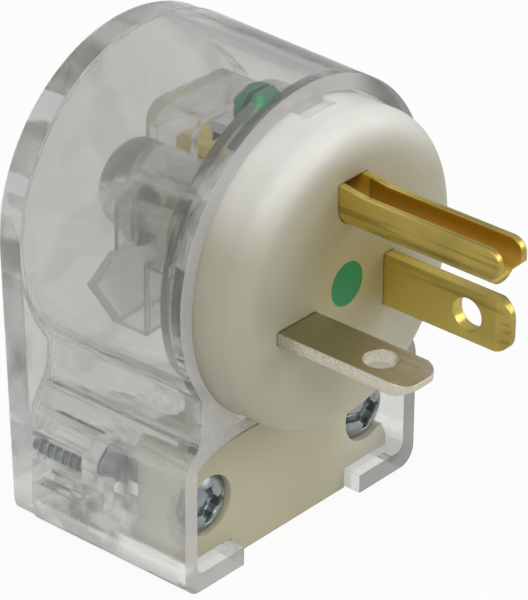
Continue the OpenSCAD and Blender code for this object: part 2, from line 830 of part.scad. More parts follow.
module neutral_terminal() {
    color("silver") terminal_plate(-terminal_x, neutral_rivet_z);
}
neutral_terminal();

// Ground terminal: a strip folded over the pin's tail, with the screw hole in its upper leg
module ground_terminal() {
    leg_y = ground_rivet_y - rivet_edge;
    color("goldenrod") difference() {
        union() {
            block_at([-ground_w / 2, carrier_back, flange_low], [ground_w / 2, ground_end, flange_top]);
            block_at([-ground_w / 2, ground_end - plate_t, strap_top],
                     [ground_w / 2, ground_end, flange_top]);
            block_at([-ground_w / 2, leg_y, strap_top], [ground_w / 2, ground_end, leg_top]);
        }
        bar_z(mid, ground_y, screw_r + fit_gap, flange_low - cut, flange_top + cut);
        bar_z(mid, ground_rivet_y, rivet_r + fit_gap, strap_top - cut, leg_top + cut / 2);
    }
}
ground_terminal();

// Rivets, with a head on each side
module rivet_y(x, z) {
    bar_y(x, z, rivet_r, carrier_back - rivet_head_t, plate_back + rivet_head_t);
    bar_y(x, z, rivet_head_r, carrier_back - rivet_head_t, carrier_back);
    bar_y(x, z, rivet_head_r, plate_back, plate_back + rivet_head_t);
}

module line_rivet() {
    color("goldenrod") rivet_y(terminal_x, blade_height);
}
line_rivet();

module neutral_rivet() {
    color("silver") rivet_y(-terminal_x, neutral_rivet_z);
}
neutral_rivet();

module ground_rivet() {
    color("goldenrod") {
        bar_z(mid, ground_rivet_y, rivet_r, pin_z - rivet_head_t, leg_top + rivet_head_t);
        bar_z(mid, ground_rivet_y, rivet_head_r, pin_z - rivet_head_t, pin_z);
        bar_z(mid, ground_rivet_y, rivet_head_r, leg_top, leg_top + rivet_head_t);
    }
}
ground_rivet();

// Clamp plates under the screw heads, with two grooves for the wire
module clamp_plate(x) {
    groove_x = screw_r + (plate_r - screw_r) / 2;
    difference() {
        between(clamp_y, head_y) tall_round(x, plate_r);
        bar_y(x, terminal_z, screw_r + fit_gap, clamp_y - cut, head_y + cut);
        for (side = [-1, 1])
            bar_z(x + side * groove_x, clamp_y, clamp_t * groove_share,
                  terminal_z - 2 * plate_r, terminal_z + 2 * plate_r);
    }
}

module line_clamp_plate() {
    color("silver") clamp_plate(terminal_x);
}
line_clamp_plate();

module neutral_clamp_plate() {
    color("silver") clamp_plate(-terminal_x);
}
neutral_clamp_plate();

module ground_clamp_plate() {
    front = carrier_back + pocket_gap;
    back = crown_y - pocket_gap;
    low = ground_z - clamp_t;
    color("silver") difference() {
        union() {
            block_at([-ground_w / 2, front, low], [ground_w / 2, back, ground_z]);
            block_at([-ground_w / 2, back - pin_t / 2, low - lip_h], [ground_w / 2, back, ground_z]);
        }
        bar_z(mid, ground_y, screw_r + fit_gap, low - cut, ground_z + cut);
    }
}
ground_clamp_plate();

// Terminal screws
module terminal_screw(x) {
    bar_y(x, terminal_z, screw_r, tail_end - screw_over, head_y);
    translate([x, face_y + head_y, terminal_z]) rotate([-90, 0, 0]) difference() {
        pan_head(head_r, head_t);
        driver_slot(head_r + cut, head_t);
    }
}

module line_screw() {
    color("goldenrod") terminal_screw(terminal_x);
}
line_screw();

module neutral_screw() {
    color("silver") terminal_screw(-terminal_x);
}
neutral_screw();

module ground_screw() {
    color("green") {
        bar_z(mid, ground_y, screw_r, leg_top + fit_gap * 2, ground_z);
        translate([0, face_y + ground_y, ground_z]) difference() {
            pan_head(ground_head_r, ground_head_t);
            driver_slot(ground_head_r + cut, ground_head_t);
        }
    }
}
ground_screw();

// Case screws: pan heads at the front, threads in the bosses of the housing
module case_screw(side) {
    bar_y(side * case_x, case_z, case_r, case_bearing, case_end);
    translate([side * case_x, face_y + case_bearing, case_z]) rotate([90, 0, 0]) difference() {
        pan_head(case_head_r, case_head_t);
        driver_cross(case_head_r, case_head_t);
    }
}

module left_case_screw() {
    color("silver") case_screw(-1);
}
left_case_screw();

module right_case_screw() {
    color("silver") case_screw(1);
}
right_case_screw();

// Loose jaw that the lower block pushes against the cord
module jaw_side() {
    pitch = jaw_h / teeth;
    y1 = block_back + jaw_t;
    rect(block_back, y1, jaw_z, jaw_z + jaw_h);
    for (i = [0 : teeth - 1]) {
        z = jaw_z + pitch * i;
        polygon([[y1 - cut, z], [y1, z], [y1 + tooth_h, z + pitch / 2],
                 [y1, z + pitch], [y1 - cut, z + pitch]]);
    }
}

module cord_jaw() {
    color("white", 0.5) across(mid, jaw_w) jaw_side();
}
cord_jaw();
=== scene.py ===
import math

import bpy
import numpy as np
from bpy.props import FloatProperty, FloatVectorProperty, IntProperty, PointerProperty
from mathutils import Matrix, Vector


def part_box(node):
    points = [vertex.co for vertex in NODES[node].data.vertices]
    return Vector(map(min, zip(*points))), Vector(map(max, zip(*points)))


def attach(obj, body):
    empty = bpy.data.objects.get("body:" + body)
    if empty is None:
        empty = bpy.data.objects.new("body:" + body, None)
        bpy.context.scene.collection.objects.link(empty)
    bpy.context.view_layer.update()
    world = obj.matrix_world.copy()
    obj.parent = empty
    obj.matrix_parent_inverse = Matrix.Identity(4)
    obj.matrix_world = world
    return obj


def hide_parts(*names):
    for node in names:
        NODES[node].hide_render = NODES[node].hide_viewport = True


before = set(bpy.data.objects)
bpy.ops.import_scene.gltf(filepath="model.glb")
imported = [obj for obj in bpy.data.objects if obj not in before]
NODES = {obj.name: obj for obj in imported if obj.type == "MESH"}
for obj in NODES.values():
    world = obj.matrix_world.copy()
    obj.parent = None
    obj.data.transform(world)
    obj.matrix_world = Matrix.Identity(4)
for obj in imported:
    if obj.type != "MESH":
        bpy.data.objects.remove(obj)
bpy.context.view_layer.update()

bl_info = {
    "name": "Right-angle plug",
    "version": (1, 0, 0),
    "blender": (4, 5, 0),
    "location": "View3D > Sidebar > Plug",
    "description": "Dresses the clear right-angle plug: plastics, contacts, screws and studio",
    "category": "Object",
}

MM = 0.001
TAU = 2 * math.pi

# The face that the blades stand out of, and the height of their centreline
FACE_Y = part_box("front_insert")[0].y
BLADE_Z = (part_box("line_blade")[0].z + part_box("line_blade")[1].z) / 2
PIN_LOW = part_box("ground_pin")[0].z
LIP_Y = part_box("clear_housing")[0].y
# Height of the centre of the round top: its radius is half the housing's width
HALF_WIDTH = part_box("clear_housing")[1].x
ROUND_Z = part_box("clear_housing")[1].z - HALF_WIDTH

INNER_CLEAR_PARTS = ["terminal_carrier", "cord_jaw"]
BRASS_PARTS = ["line_blade", "line_terminal", "ground_terminal",
               "line_rivet", "ground_rivet", "line_screw"]
NICKEL_PARTS = ["neutral_blade", "neutral_terminal", "neutral_rivet"]
STEEL_PARTS = ["line_clamp_plate", "neutral_clamp_plate", "ground_clamp_plate", "neutral_screw"]

# Radius of the soft edges of the plastics, how near to a flat face a point counts as on it, and
# the cosines of a rounded normal's turn at which an edge begins and is full
SOFT_EDGE = 0.3 * MM
ON_FACE = 0.05 * MM
EDGE_TURN = (0.98, 0.75)

# Zones of the clear housing, each from where it is absent to where it is full: heights above the
# base, distances from the middle plane and depths behind the lip
SHOULDER_FOOT, SHOULDER_TOP = (12 * MM, 15 * MM), (27 * MM, 23 * MM)
BLOCK_FOOT, BLOCK_TOP = (1.5 * MM, 3.5 * MM), (17 * MM, 14 * MM)
BLOCK_BACK = (LIP_Y + 11 * MM, LIP_Y + 9 * MM)
# The DIM zones mark where the front of the lip takes painted shade
DIM_SIDE, DIM_TOP = (-8 * MM, 2 * MM), (32 * MM, 28 * MM)
DIM_RIGHT, DIM_BASE = (6 * MM, 13 * MM), (4 * MM, 2.5 * MM)
FOOT_TOP, FOOT_FRONT = (11 * MM, 6 * MM), (LIP_Y + 9 * MM, LIP_Y + 13 * MM)
BASE_TOP = (4 * MM, 2 * MM)
BAND_WIDTH, GLINT_HAZE_EDGE = 0.4 * MM, 0.35 * MM
# Noise of the clear plastics: marks per metre, detail, how far each axis is drawn out, and for
# marks also the levels between which they appear
FLOW, WAVES, RIPPLES = (60, 1.0), (260, 1.0), (520, 2.0)
STREAKS, STREAK_GLINTS = (420, 2.0, (1, 0.06, 1)), (0.50, 0.62)
CLEAR_PATCHES = (95, 1.0, (1, 0.25, 1), 0.44, 0.56)
# The dark and bright patches, the foot's shadows and the glints are painted: dark refractions,
# shadows and highlights
DARK_REFRACTION_PATCHES = (190, 1.0, (1, 0.2, 1), 0.42, 0.56)
GLINT_PATCHES = (230, 1.0, (1, 0.3, 1), 0.54, 0.60)
FOOT_SHADOWS = (200, 1.0, (1, 1, 1), 0.50, 0.58)
FOOT_GLINTS = (600, 1.0, (0.5, 1.0, 0.4), 0.60, 0.66)
FLOW_RELIEF, WAVE_RELIEF = 0.03 * MM, 0.01 * MM
STREAK_RELIEF, RIPPLE_RELIEF = 0.16 * MM, 0.10 * MM
# Clearness between the patches, as a share of the clearness in them
FLANGE_LEAST, RIM_LEAST = 0.3, 0.7
# Strength of the painted dark marks (painted refractions, shadows and shade at the base) and of the
# painted glints in each zone, and of the painted shade on the base of the lip
DARK_REFRACTION_BAND, SHADE_BASE, SHADE_FOOT = 0.55, 0.12, 0.22
GLINT_BAND, GLINT_SHOULDER, GLINT_FOOT = 0.8, 0.3, 0.3
DIM_BASE_SHARE = 0.6

# Zones of the white nylon: the round face above the block (below it the block's painted shade), the
# warm spot of painted light round the contacts, the painted light on the upper edge and on the side
# of the block, and the painted light on what lies behind the clear wall
FACE_RISE = (14 * MM, 24 * MM)
BRASS_LIGHT_SPOT, BRASS_LIGHT_X, BRASS_LIGHT_RISE = (4 * MM, 15 * MM), 1.5 * MM, 5 * MM
LIGHT_TOP_RING, LIGHT_TOP_RISE = (12.5 * MM, 17.5 * MM), (42 * MM, 52 * MM)
LIGHT_SIDE, LIGHT_SIDE_SHARE = (4 * MM, 15 * MM), 0.45
HIDDEN_DEPTH = (LIP_Y + 2 * MM, LIP_Y + 4 * MM)
NYLON_CLOUD, NYLON_CLOUD_SHARE, NYLON_CLOUD_DARK = (120, 3.0), 0.5, 0.93
NYLON_ROUGHNESS, NYLON_ROUGHNESS_SPREAD = 0.36, 0.1
NYLON_RELIEF, NYLON_EDGE, DOT_EDGE = 0.02 * MM, 0.25 * MM, 0.06 * MM

# Marks of the metals, as for the plastics, with their strength. The edge glints are painted
# highlights, lighter patches along the edges
ROLL_MARKS, METAL_CLOUD = (900, 2.0, (1, 0.06, 1)), (160, 3.0, (1, 1, 1), 0.35, 0.75)
SCRATCHES, SCRATCH_SHARE, SCRATCH_DARK = (1500, 2.0, (1, 0.03, 1), 0.54, 0.66), 0.45, 0.6
EDGE_GLINTS, EDGE_GLINTS_SHARE, EDGE_GLINTS_LIGHT = (2500, 1.0, (1, 1, 1), 0.35, 0.6), 0.7, 1.45
SPECKS, SPECK_LEAST = (5500, 1.0, (1, 1, 1), 0.3, 0.7), 0.4
MARK_ROUGHNESS, MARK_RELIEF = 0.16, 0.02 * MM
# Painted light and shade near the face: over this reach brass turns lighter and nickel darker
# towards the root
ROOT_REACH = (FACE_Y - 17 * MM, FACE_Y - 4 * MM)
# A face is a flank when the square of its normal's z is below this
FLANK_TILT = 0.5
# Channel of the ground pin, whose colour and lower metallic look are painted light that its walls
# cast on each other: its floor, the rise over which its colour changes, and how much less metallic
# it looks outside the face and, further, inside it
CHANNEL_FLOOR = PIN_LOW + 0.5 * MM
CHANNEL_RISE = (PIN_LOW + 2.2 * MM, PIN_LOW + 4.3 * MM)
CHANNEL_LIGHTEN, CHANNEL_ROOT_LIGHTEN, CHANNEL_ROOT = 0.3, 0.6, 1 * MM

# Colour of the clouds as a share of the metal's own, and roughness, of each metal
BRASS_FINISH, NICKEL_FINISH = (0.66, 0.26), (0.85, 0.28)
ZINC_FINISH, PAINTED_LIGHT_ZINC_FINISH, GREEN_FINISH = (0.8, 0.22), (0.85, 0.35), (0.7, 0.30)

# Case screws. Thread: rings in one turn, the distance from the crest, in turns, at which a ridge
# ends and is full, and the radius at the tip. Head: heights as shares of its height, and radii
# and lengths as shares of its radius.
RINGS_PER_TURN, RIDGE, POINT_RADIUS = 14, (0.30, 0.08), 0.72
TOP_RINGS, TOP_SPACING, TOP_HOLE, TOP_POWER = 60, 0.8, 0.002, 2.2
RIM_HEIGHT, CORNER_RADIUS, CORNER_HEIGHT, DRIVE_HEIGHT = 0.45, 0.97, 0.06, 0.3
SLOT_END, CROSS_LENGTH, PIT_RADIUS = (0.99, 0.93), 0.62, 0.38
DRIVE_EDGE = 0.12 * MM

# Studio, in metres: the floor's half width, the lamps' places and sizes, and the camera's sensor
# and nearest distance in millimetres
FLOOR_REACH = 3.0
KEY_PLACE, KEY_SIZE = (-0.35, -0.25, 0.60), 0.40
FILL_PLACE, FILL_SIZE = (0.45, -0.45, 0.35), 0.35
SENSOR_WIDTH, NEAREST = 36, 10
# Colours of the floor, of its glow in the clear plastic and of the sky near the horizon, and the
# share of the glow in what the camera and the plug see of the floor
FLOOR_COLOUR, FLOOR_GLOW, HORIZON = (0.86, 0.86, 0.85), (1.0, 1.0, 0.97), (0.72, 0.72, 0.70)
GLOW_SHARE = 0.92


class PlasticLooks(bpy.types.PropertyGroup):
    """Colours and finish of the plastics"""
    clear_tint: FloatVectorProperty(
        name="Clear tint", description="Colour that the clear plastic gives to light",
        subtype="COLOR", size=3, min=0, max=1, default=(0.965, 0.97, 0.96))
    haze_colour: FloatVectorProperty(
        name="Haze colour", description="Colour of the faint milkiness of the clear plastic",
        subtype="COLOR", size=3, min=0, max=1, default=(0.84, 0.85, 0.83))
    inner_colour: FloatVectorProperty(
        name="Inner haze colour", description="Colour of the milkiness of the inner clear parts",
        subtype="COLOR", size=3, min=0, max=1, default=(0.90, 0.88, 0.83))
    lip_colour: FloatVectorProperty(
        name="Lip colour", description="Colour of the matt front of the rim",
        subtype="COLOR", size=3, min=0, max=1, default=(0.88, 0.86, 0.84))
    # Painted shade: the front of the lip on its side away from the light and at its base
    dim_colour: FloatVectorProperty(
        name="Dim lip colour", description="Colour of that front on the side away from the light",
        subtype="COLOR", size=3, min=0, max=1, default=(0.30, 0.29, 0.28))
    # Painted shade: colour of the painted dark refractions, the painted shadows at the foot and the
    # painted shade at the base of the wall
    shadow_colour: FloatVectorProperty(
        name="Shadow colour", description="Colour of the dull patches that thick clear ends show",
        subtype="COLOR", size=3, min=0, max=1, default=(0.22, 0.21, 0.15))
    # Painted highlight: colour of the painted glints and bright refraction patches
    glint_colour: FloatVectorProperty(
        name="Glint colour", description="Colour of the bright patches and streaks beside them",
        subtype="COLOR", size=3, min=0, max=1, default=(1.0, 1.0, 1.0))
    haze: FloatProperty(
        name="Haze", description="Share of the light that the clear housing scatters",
        subtype="FACTOR", min=0, max=1, default=0.07)
    inner_haze: FloatProperty(
        name="Inner haze", description="Share of the light that the inner clear parts scatter",
        subtype="FACTOR", min=0, max=1, default=0.10)
    # Painted highlight: the edges of the inner parts are made milkier, for the light that they
    # catch
    inner_edge_glint_haze: FloatProperty(
        name="Inner edge haze",
        description="Share of the light that the edges of these parts scatter",
        subtype="FACTOR", min=0, max=1, default=0.12)
    inner_edge_clearness: FloatProperty(
        name="Inner edge clearness",
        description="Further share that goes straight through their edges",
        subtype="FACTOR", min=0, max=1, default=0.6)
    inner_clearness: FloatProperty(
        name="Inner clearness", description="Share of light that goes straight through these parts",
        subtype="FACTOR", min=0, max=1, default=0.22)
    # Painted highlight: the edges are made milkier to stand for the light that moulded edges catch
    edge_glint_haze: FloatProperty(
        name="Edge haze", description="Share of the light that moulded edges scatter",
        subtype="FACTOR", min=0, max=1, default=0.65)
    lip_haze: FloatProperty(
        name="Lip haze", description="Share of the light that the matt front of the rim scatters",
        subtype="FACTOR", min=0, max=1, default=0.7)
    rim_clearness: FloatProperty(
        name="Rim clearness", description="Share of light that goes straight through the front rim",
        subtype="FACTOR", min=0, max=1, default=0.76)
    block_clearness: FloatProperty(
        name="Clearness at the block",
        description="Share of light that goes straight through the wall beside the lower block",
        subtype="FACTOR", min=0, max=1, default=0.65)
    flange_clearness: FloatProperty(
        name="Flange clearness", description="Share of light that goes straight through the flange",
        subtype="FACTOR", min=0, max=1, default=0.42)
    flange_depth: FloatProperty(
        name="Flange depth", description="Distance of the flange's front from the blade face",
        unit="LENGTH", default=30.0 * MM)
    rim_depth: FloatProperty(
        name="Rim depth", description="Distance of the back of the front rim from the blade face",
        unit="LENGTH", default=8.0 * MM)
    clear_ior: FloatProperty(
        name="Clear index", description="Refractive index of the clear housing",
        min=1, max=2, default=1.5)
    inner_ior: FloatProperty(
        name="Inner index", description="Refractive index of the inner clear parts",
        min=1, max=2, default=1.4)
    front_colour: FloatVectorProperty(
        name="Front colour", description="Colour of the round white face",
        subtype="COLOR", size=3, min=0, max=1, default=(0.485, 0.465, 0.36))
    # Painted light: the warm tint that the brass contacts cast through the nylon round them
    painted_brass_light_colour: FloatVectorProperty(
        name="Warm colour", description="Colour of the face round the contacts, which show through",
        subtype="COLOR", size=3, min=0, max=1, default=(0.36, 0.29, 0.10))
    # Painted light: colour of the upper edge and of the right side of the block, made lighter where
    # more light falls
    painted_light_colour: FloatVectorProperty(
        name="Pale colour", description="Colour of the thinner parts of the white nylon",
        subtype="COLOR", size=3, min=0, max=1, default=(0.95, 0.95, 0.92))
    # Painted light: nylon behind the clear wall is lighter, for the lamp light that the wall keeps
    # from it
    painted_light_behind_wall: FloatVectorProperty(
        name="Hidden nylon", description="Colour of the nylon where it lies behind the clear wall",
        subtype="COLOR", size=3, min=0, max=1, default=(0.90, 0.89, 0.80))
    # Painted shade: the lower block's warmer colour stands for the shade that it lies in
    painted_shade_block_colour: FloatVectorProperty(
        name="Block colour", description="Warmer colour of the lower block",
        subtype="COLOR", size=3, min=0, max=1, default=(0.57, 0.535, 0.36))
    dot_colour: FloatVectorProperty(
        name="Dot colour", description="Colour of the printed dot",
        subtype="COLOR", size=3, min=0, max=1, default=(0.005, 0.21, 0.065))
    dot_radius: FloatProperty(
        name="Dot radius", description="Radius of the printed dot",
        unit="LENGTH", min=0, default=2.65 * MM)
    dot_x: FloatProperty(
        name="Dot place across", description="Distance of the dot from the middle, to the right",
        unit="LENGTH", default=-0.75 * MM)
    dot_rise: FloatProperty(
        name="Dot height", description="Height of the dot above the blades' centreline",
        unit="LENGTH", default=2.05 * MM)


class MetalLooks(bpy.types.PropertyGroup):
    """Colours and finish of the metals"""
    brass_colour: FloatVectorProperty(
        name="Brass", description="Colour of the brass contacts",
        subtype="COLOR", size=3, min=0, max=1, default=(0.60, 0.46, 0.12))
    channel_colour: FloatVectorProperty(
        name="Channel",
        description="Colour inside the folded ground pin, whose walls light each other",
        subtype="COLOR", size=3, min=0, max=1, default=(0.50, 0.30, 0.02))
    channel_floor: FloatVectorProperty(
        name="Channel floor", description="Colour low in that channel, where more light falls",
        subtype="COLOR", size=3, min=0, max=1, default=(0.76, 0.53, 0.12))
    channel_width: FloatProperty(
        name="Channel width", description="Width of the channel in the ground pin",
        unit="LENGTH", min=0, default=3.15 * MM)
    nickel_colour: FloatVectorProperty(
        name="Nickel", description="Colour of the plated contact towards its tip",
        subtype="COLOR", size=3, min=0, max=1, default=(0.72, 0.66, 0.52))
    nickel_flank: FloatVectorProperty(
        name="Nickel at the sides", description="Colour of the cut sides of the plated contact",
        subtype="COLOR", size=3, min=0, max=1, default=(0.88, 0.84, 0.74))
    # Painted light: brass near the face is lighter
    brass_root_light: FloatVectorProperty(
        name="Brass at the root", description="Lighter colour of the brass contacts near the face",
        subtype="COLOR", size=3, min=0, max=1, default=(0.84, 0.66, 0.19))
    # Painted shade: nickel near the face is darker
    nickel_root_shade: FloatVectorProperty(
        name="Nickel at the root", description="Darker colour of the plated contact near the face",
        subtype="COLOR", size=3, min=0, max=1, default=(0.38, 0.365, 0.22))
    zinc_colour: FloatVectorProperty(
        name="Zinc", description="Colour of the plated screws",
        subtype="COLOR", size=3, min=0, max=1, default=(0.41, 0.45, 0.46))
    # Painted light: a lighter copy of the zinc, for small parts that lie inside the clear plastic
    painted_light_zinc_colour: FloatVectorProperty(
        name="Inner zinc", description="Colour of the small plated parts inside the clear plastic",
        subtype="COLOR", size=3, min=0, max=1, default=(0.86, 0.86, 0.83))
    green_colour: FloatVectorProperty(
        name="Green", description="Colour of the ground screw",
        subtype="COLOR", size=3, min=0, max=1, default=(0.01, 0.25, 0.09))
    edge_round: FloatProperty(
        name="Edge round", description="Radius of the soft edges of stamped metal",
        unit="LENGTH", min=0, default=0.2 * MM)
    pin_round: FloatProperty(
        name="Pin edge round", description="Radius of the soft edges of the folded ground pin",
        unit="LENGTH", min=0, default=0.25 * MM)


class ScrewLooks(bpy.types.PropertyGroup):
    """Shape of the two case screws"""
    pitch: FloatProperty(
        name="Thread pitch", description="Distance between two turns of the thread",
        unit="LENGTH", min=0.2 * MM, default=1.15 * MM)
    core_share: FloatProperty(
        name="Core share", description="Radius of the thread's root as a share of its crest",
        min=0.3, max=1, default=0.72)
    head_height: FloatProperty(
        name="Head height", description="Height of a screw's head above its bearing face",
        unit="LENGTH", min=0, default=2.15 * MM)
    thread_share: FloatProperty(
        name="Threaded share", description="Part of the shank that carries the thread",
        min=0, max=1, default=0.44)
    slot_width: FloatProperty(
        name="Slot width", description="Width of the drive slots",
        unit="LENGTH", min=0, default=1.15 * MM)
    slot_depth: FloatProperty(
        name="Slot depth", description="Depth of the drive slots",
        unit="LENGTH", min=0, default=1.5 * MM)
    ring_steps: IntProperty(
        name="Steps round", description="Corners in each ring of a screw", min=24, default=160)


class StudioLooks(bpy.types.PropertyGroup):
    """Camera and light"""
    azimuth: FloatProperty(
        name="Azimuth", description="Angle of the view round the plug, from its front",
        subtype="ANGLE", default=math.radians(-49.118))
    elevation: FloatProperty(
        name="Elevation", description="Angle of the view above the horizon",
        subtype="ANGLE", default=math.radians(29.439))
    roll: FloatProperty(
        name="Roll", description="Turn of the camera about its own axis",
        subtype="ANGLE", default=math.radians(0.432))
    distance: FloatProperty(
        name="Distance", description="Distance from the camera to the blade face",
        unit="LENGTH", default=443 * MM)
    shift_right: FloatProperty(
        name="Aim right", description="How far right of the view's middle the aim point lies",
        unit="LENGTH", default=9.525 * MM)
    shift_up: FloatProperty(
        name="Aim up", description="How far above the view's middle the aim point lies",
        unit="LENGTH", default=0.33 * MM)
    lens: FloatProperty(
        name="Lens", description="Focal length in millimetres on a 36 mm wide sensor",
        min=1, default=276.0)
    key_power: FloatProperty(
        name="Key light", description="Power of the large soft light",
        unit="POWER", min=0, default=1.6)
    fill_power: FloatProperty(
        name="Fill light", description="Power of the fill light", unit="POWER", min=0, default=1.0)
    floor_level: FloatProperty(
        name="Floor level", description="Brightness of the floor as the clear plastic shows it",
        min=0, default=0.66)
    sky_level: FloatProperty(
        name="Sky level", description="Strength of the light from all round", min=0, default=0.56)


class Field:
    """A number that varies over a surface. Arithmetic on it adds Math nodes to its material."""

    def __init__(self, shader, socket):
        self.shader = shader
        self.socket = socket

    def _math(self, operation, *values):
        node = self.shader.node("ShaderNodeMath", {"operation": operation}, dict(enumerate(values)))
        return Field(self.shader, node.outputs[0])

    def __add__(self, other):
        return self._math("ADD", self, other)

    def __sub__(self, other):
        return self._math("SUBTRACT", self, other)

    def __rsub__(self, other):
        return self._math("SUBTRACT", other, self)

    def __mul__(self, other):
        return self._math("MULTIPLY", self, other)

    def __truediv__(self, other):
        return self._math("DIVIDE", self, other)

    def __pow__(self, other):
        return self._math("POWER", self, other)

    def above(self, other):
        return self._math("GREATER_THAN", self, other)

    def below(self, other):
        return self._math("LESS_THAN", self, other)

    def least(self, other):
        return self._math("MINIMUM", self, other)

    def most(self, other):
        return self._math("MAXIMUM", self, other)

    def smooth(self, low, high):
        """0 below low, 1 above high, and the smooth step 3t^2 - 2t^3 between them"""
        node = self.shader.node(
            "ShaderNodeMapRange", {"interpolation_type": "SMOOTHSTEP"},
            {"Value": self, "From Min": low, "From Max": high, "To Min": 0.0, "To Max": 1.0})
        return Field(self.shader, node.outputs["Result"])

    __radd__ = __add__
    __rmul__ = __mul__


class Shader:
    """A material's node tree, with one method that adds any node"""

    def __init__(self, name):
        self.material = bpy.data.materials.new(name)
        self.material.use_nodes = True
        self.tree = self.material.node_tree
        self.surface = self.tree.nodes["Principled BSDF"]
        self.end = self.tree.nodes["Material Output"]

    def put(self, socket, value):
        """Sets a socket to a value, or links a socket or field to it"""
        if isinstance(value, Field):
            value = value.socket
        if isinstance(value, bpy.types.NodeSocket):
            self.tree.links.new(value, socket)
        elif (hasattr(socket.default_value, "__len__") and len(socket.default_value) == 4
              and len(value) == 3):
            socket.default_value = (*value, 1.0)
        else:
            socket.default_value = value

    def node(self, kind, settings=None, inputs=None):
        made = self.tree.nodes.new(kind)
        for key, value in (settings or {}).items():
            setattr(made, key, value)
        for key, value in (inputs or {}).items():
            self.put(made.inputs[key], value)
        return made

    def principled(self, **values):
        for key, value in values.items():
            self.put(self.surface.inputs[key.replace("_", " ")], value)

    def place(self):
        """x, y and z of the object's own coordinates, in metres, as three fields"""
        where = self.node("ShaderNodeTexCoord").outputs["Object"]
        parts = self.node("ShaderNodeSeparateXYZ", inputs={0: where})
        return [Field(self, parts.outputs[i]) for i in range(3)]

    def noise(self, scale, detail=2.0, stretch=(1, 1, 1)):
        """Cloudy noise from 0 to 1, its scale in marks per metre, drawn out along an axis"""
        where = self.node("ShaderNodeTexCoord").outputs["Object"]
        turned = self.node("ShaderNodeMapping", inputs={"Vector": where, "Scale": stretch})
        made = self.node("ShaderNodeTexNoise",
                         inputs={"Vector": turned.outputs[0], "Scale": scale, "Detail": detail})
        return Field(self, made.outputs["Fac"])

    def marks(self, scale, detail, stretch, low, high):
        """Separate marks: 0 where the noise is below low and 1 where it is above high"""
        return self.noise(scale, detail, stretch).smooth(low, high)

    def blend(self, amount, first, second):
        """The colour first where amount is 0 and second where it is 1"""
        made = self.node("ShaderNodeMix", {"data_type": "RGBA"}, {0: amount, 6: first, 7: second})
        return made.outputs[2]

    def mix(self, amount, first, second):
        """The surface first where amount is 0 and second where it is 1"""
        return self.node("ShaderNodeMixShader", inputs={0: amount, 1: first, 2: second}).outputs[0]

    def bump(self, height, distance, normal=None):
        inputs = {"Height": height, "Distance": distance, "Strength": 1.0}
        if normal is not None:
            inputs["Normal"] = normal
        return self.node("ShaderNodeBump", inputs=inputs).outputs[0]

    def soft_edges(self, radius):
        """Normals that turn smoothly over each edge, within radius"""
        return self.node("ShaderNodeBevel", {"samples": 6}, {"Radius": radius}).outputs[0]

    def edges(self, radius):
        """0 on open faces, rising towards 1 along edges, from how far a rounded normal turns"""
        facing = self.node("ShaderNodeNewGeometry").outputs["Normal"]
        turn = self.node("ShaderNodeVectorMath", {"operation": "DOT_PRODUCT"},
                         {0: self.soft_edges(radius), 1: facing})
        return Field(self, turn.outputs["Value"]).smooth(*EDGE_TURN)


def looks():
    return bpy.context.scene.plug_looks


def wear(nodes, shader):
    """Gives the material to CAD nodes"""
    for name in nodes:
        slots = NODES[name].data.materials
        slots.clear()
        slots.append(shader.material)


def milk(shader, colour):
    """Light that the plastic scatters, half of it back and half of it onwards"""
    back = shader.node("ShaderNodeBsdfDiffuse", inputs={"Color": colour}).outputs[0]
    onwards = shader.node("ShaderNodeBsdfTranslucent", inputs={"Color": colour}).outputs[0]
    return shader.mix(0.5, back, onwards)


